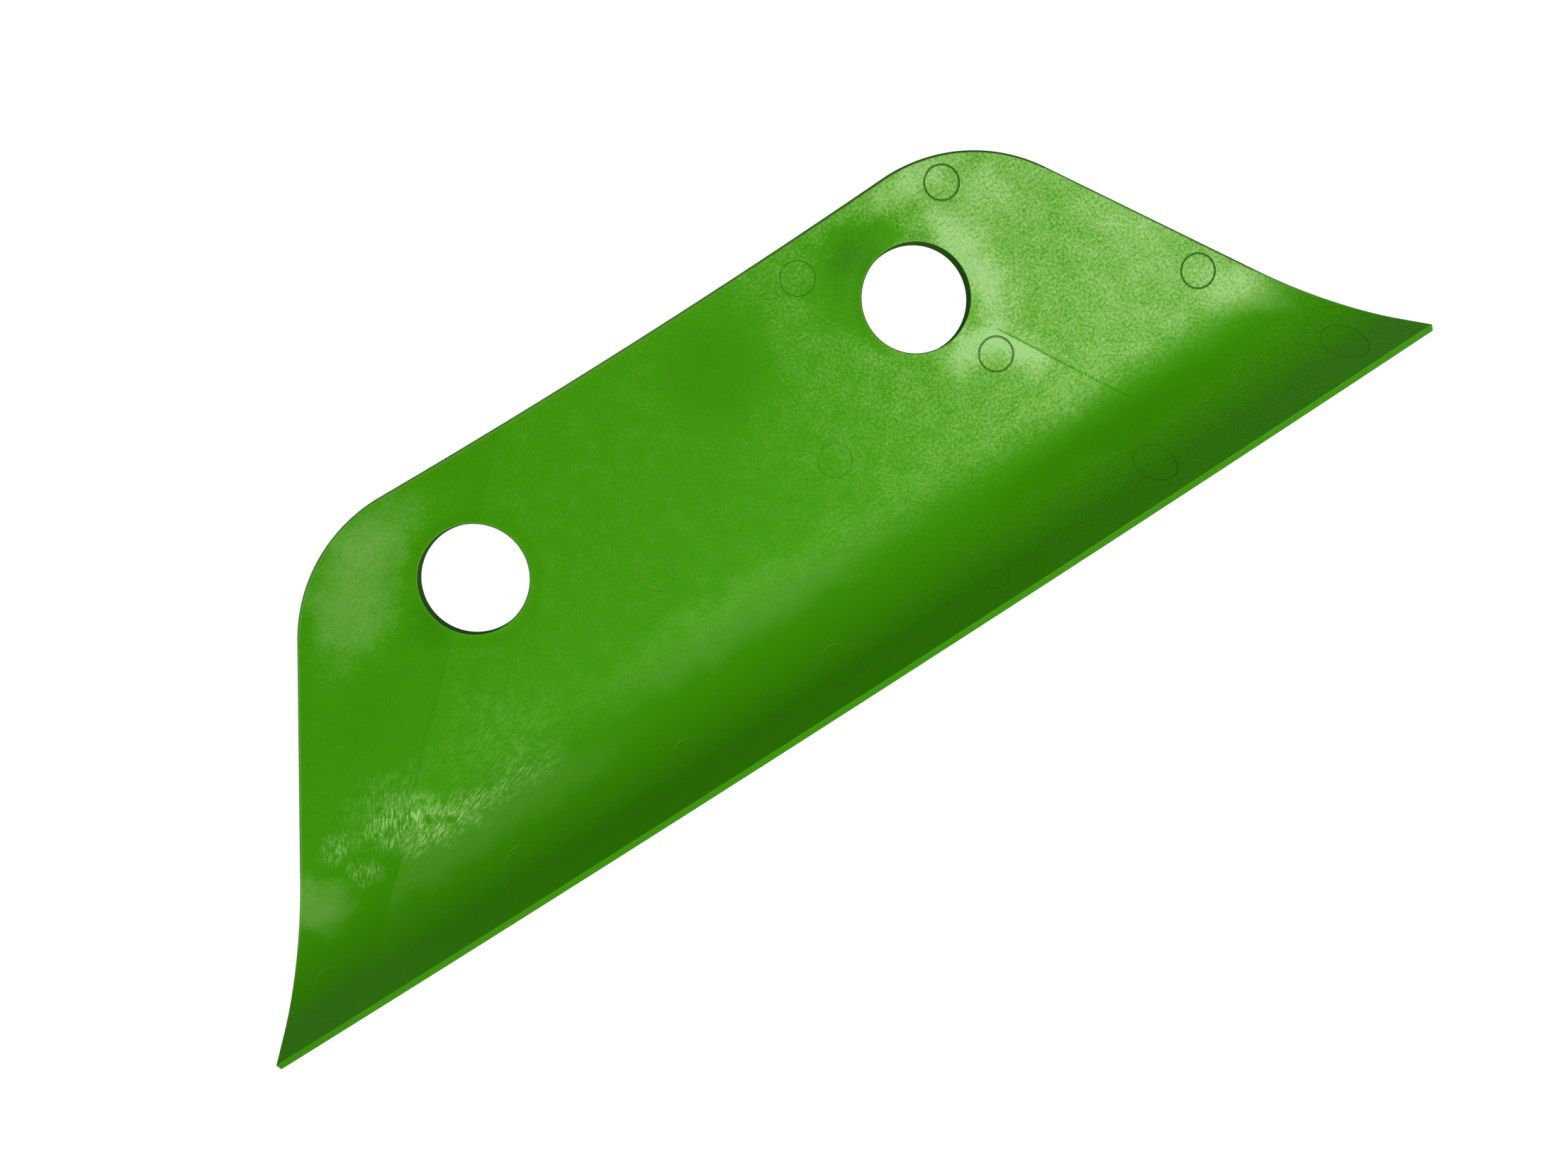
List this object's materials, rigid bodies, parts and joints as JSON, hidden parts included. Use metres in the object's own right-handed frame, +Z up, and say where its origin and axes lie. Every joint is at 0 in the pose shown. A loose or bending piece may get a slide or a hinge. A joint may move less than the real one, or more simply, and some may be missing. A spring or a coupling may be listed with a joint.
{
  "type": "leaf scoop plate",
  "caption": "Moulded hand-held leaf scoop: a flat plate with a curled straight working edge, rounded shoulders and collared round hand holes.",
  "frame": {"origin": "centre of the bounding box, on the surface that the scoop lies on", "axes": "+X along the working edge, +Y from the working edge to the hand edge, +Z up with the hollow side up; the plate leans 6.9 degrees about X, as it rests on its collars and the back of its bend"},
  "size_m": [0.3746, 0.121, 0.0245],
  "materials": {
    "green_plastic": "semi-gloss as moulded"
  },
  "bodies": {
    "root": {"scoop_plate": "green_plastic"}
  },
  "joints": []
}
